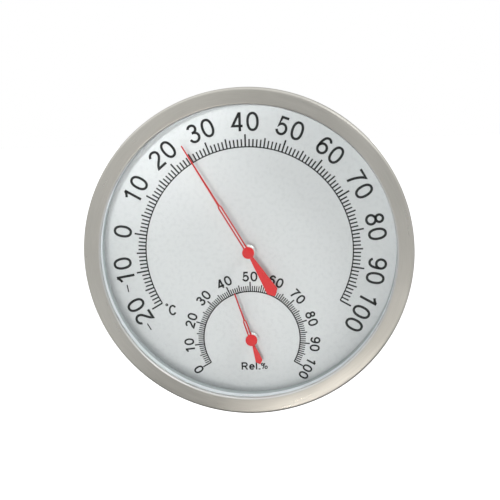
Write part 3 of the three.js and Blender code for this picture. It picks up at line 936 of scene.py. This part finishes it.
key = lamp("key_lamp", "AREA", KEY_PLACE, KEY_WATTS, shape="DISK", size=KEY_SIZE)
key.visible_glossy = False
for turn in SHEEN_TARGETS:
    sheen = lamp(
        f"sheen_lamp_{turn}",
        "SPOT",
        SHEEN_PLACE,
        SHEEN_WATTS,
        place(*on_ring(SHEEN_RADIUS, turn), DIAL_FRONT),
        shadow_soft_size=SHEEN_SIZE,
        spot_size=math.radians(SHEEN_BEAM),
        spot_blend=1.0,
    )
    sheen.visible_glossy = False
at = middle + toward(*GLINT_DIRECTION) * GLINT_DISTANCE
glint = lamp("glint_lamp", "AREA", at, GLINT_WATTS, shape="DISK", size=GLINT_SIZE)
glint.visible_diffuse = False
# Skims over the dial to the wall at its lower left
at = middle + WALL_PLACE
skim = lamp("wall_lamp", "AREA", at, WALL_WATTS, shape="DISK", size=WALL_SIZE)
skim.visible_glossy = False
for k, (turn, height, power, size) in enumerate(WARM_LAMPS):
    at = middle + toward(turn, height) * WARM_DISTANCE
    name = f"warm_lamp_{k + 1}"
    warm = lamp(name, "AREA", at, power, colour=WARM, shape="DISK", size=size)
    warm.visible_diffuse = False

world = bpy.data.worlds.new("studio")
world.use_nodes = True
bpy.context.scene.world = world
tree = world.node_tree
tree.nodes.remove(tree.nodes["Background"])
rays = tree.nodes.new("ShaderNodeLightPath").outputs
direction = tree.nodes.new("ShaderNodeTexCoord").outputs["Generated"]


def glow(strength):
    background = tree.nodes.new("ShaderNodeBackground")
    background.inputs["Color"].default_value = (*WHITE, 1.0)
    if isinstance(strength, bpy.types.NodeSocket):
        tree.links.new(strength, background.inputs["Strength"])
    else:
        background.inputs["Strength"].default_value = strength
    return background.outputs[0]


def choose(factor, first, second):
    mix = tree.nodes.new("ShaderNodeMixShader")
    for socket, source in enumerate((factor, first, second)):
        tree.links.new(source, mix.inputs[socket])
    return mix.outputs[0]


def ramp(source, start, end, low, high):
    node = tree.nodes.new("ShaderNodeMapRange")
    node.interpolation_type = "SMOOTHSTEP"
    tree.links.new(source, node.inputs["Value"])
    values = {"From Min": start, "From Max": end, "To Min": low, "To Max": high}
    for socket, value in values.items():
        node.inputs[socket].default_value = value
    return node.outputs[0]


def combined(operation, first, second):
    node = tree.nodes.new("ShaderNodeMath")
    node.operation = operation
    tree.links.new(first, node.inputs[0])
    tree.links.new(second, node.inputs[1])
    return node.outputs[0]


def along(vector):
    """How far the direction looked in runs along a vector."""
    node = tree.nodes.new("ShaderNodeVectorMath")
    node.operation = "DOT_PRODUCT"
    tree.links.new(direction, node.inputs[0])
    node.inputs[1].default_value = vector
    return node.outputs["Value"]


# Metal sees a room that is dimmer in front and behind, with a few soft cards in it
split = tree.nodes.new("ShaderNodeSeparateXYZ")
tree.links.new(direction, split.inputs[0])
gains = [ramp(split.outputs[axis], *span) for axis, *span in ROOM]
for turn, height, outer, inner, gain in CARDS:
    edges = [math.cos(math.radians(angle)) for angle in (outer, inner)]
    gains.append(ramp(along(toward(turn, height)), *edges, 1.0, gain))
mirrored = gains[0]
for gain in gains[1:]:
    mirrored = combined("MULTIPLY", mirrored, gain)
# Everything else takes its fill light from the sides and the back, most at the lower left
depth_gain = ramp(split.outputs["Y"], *FILL_DEPTH)
side_gain = ramp(along(FILL_DIRECTION), *FILL_SIDE)
spread = combined("MULTIPLY", depth_gain, side_gain)
lit = choose(rays["Is Glossy Ray"], glow(spread), glow(mirrored))
seen = combined("MAXIMUM", rays["Is Camera Ray"], rays["Is Transmission Ray"])
tree.links.new(choose(seen, lit, glow(1.0)), tree.nodes["World Output"].inputs["Surface"])

# The floor takes the object's shadow and glows for the camera alone
paint = finishes["floor_paint"]
bright = paint.node("Emission", {"Color": (*WHITE, 1.0), "Strength": FLOOR_GLOW})
both = paint.node("AddShader", {0: paint.shader.outputs[0], 1: bright.outputs[0]})
sight = paint.node("LightPath").outputs["Is Camera Ray"]
shaders = {0: sight, 1: paint.shader.outputs[0], 2: both.outputs[0]}
paint.show(paint.node("MixShader", shaders))
floor_mesh = bpy.data.meshes.new("floor")
corners = [(-1, -1), (1, -1), (1, 1), (-1, 1)]
points = [(x * FLOOR_REACH, y * FLOOR_REACH, FLOOR_HEIGHT) for x, y in corners]
floor_mesh.from_pydata(points, [], [(0, 1, 2, 3)])
floor_mesh.materials.append(paint.material)
floor = bpy.data.objects.new("floor", floor_mesh)
bpy.context.scene.collection.objects.link(floor)
floor.visible_glossy = False

back = toward(CAMERA_AZIMUTH, CAMERA_ELEVATION)
optics = bpy.data.cameras.new("camera")
optics.sensor_width = SENSOR
optics.lens = SENSOR * CAMERA_DISTANCE / VIEW_WIDTH
optics.clip_start = CLIP_START
camera = bpy.data.objects.new("camera", optics)
bpy.context.scene.collection.objects.link(camera)
camera.location = AIM + back * CAMERA_DISTANCE
level = (-back).to_track_quat("-Z", "Y").to_matrix()
roll = Matrix.Rotation(-math.radians(CAMERA_ROLL), 3, "Z")
camera.rotation_euler = (level @ roll).to_euler()
bpy.context.scene.camera = camera

bpy.context.scene.view_settings.view_transform = "Standard"
